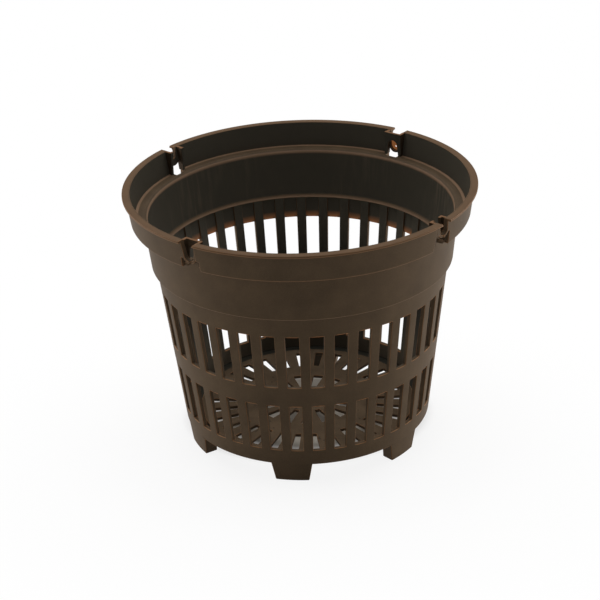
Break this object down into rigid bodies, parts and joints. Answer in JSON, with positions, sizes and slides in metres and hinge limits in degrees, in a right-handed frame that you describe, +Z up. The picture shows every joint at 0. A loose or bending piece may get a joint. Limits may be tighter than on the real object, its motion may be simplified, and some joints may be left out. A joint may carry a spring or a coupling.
{
  "type": "net pot",
  "caption": "Round dark brown plastic basket pot with a plain collar and lip, rows of tall wall slots, a slotted floor, short feet and hanger eyes in the rim.",
  "frame": {"origin": "middle of the plane that the feet stand on", "axes": "+Z up along the pot's axis, -Y through the front hanger eye, +X through the right-hand hanger eye"},
  "size_m": [0.1498, 0.1498, 0.1145],
  "materials": {
    "brown_plastic": "satin moulded, dark brown"
  },
  "bodies": {
    "root": {"base_hoop": "brown_plastic", "collar_arc_1": "brown_plastic", "collar_arc_2": "brown_plastic", "collar_arc_3": "brown_plastic", "collar_arc_4": "brown_plastic", "floor_grille": "brown_plastic", "foot_1": "brown_plastic", "foot_2": "brown_plastic", "foot_3": "brown_plastic", "foot_4": "brown_plastic", "foot_5": "brown_plastic", "foot_6": "brown_plastic", "hanger_eye_1": "brown_plastic", "hanger_eye_2": "brown_plastic", "hanger_eye_3": "brown_plastic", "hanger_eye_4": "brown_plastic", "lower_slot_row": "brown_plastic", "shoulder_ledge": "brown_plastic", "upper_band": "brown_plastic", "upper_slot_row": "brown_plastic"}
  },
  "joints": []
}
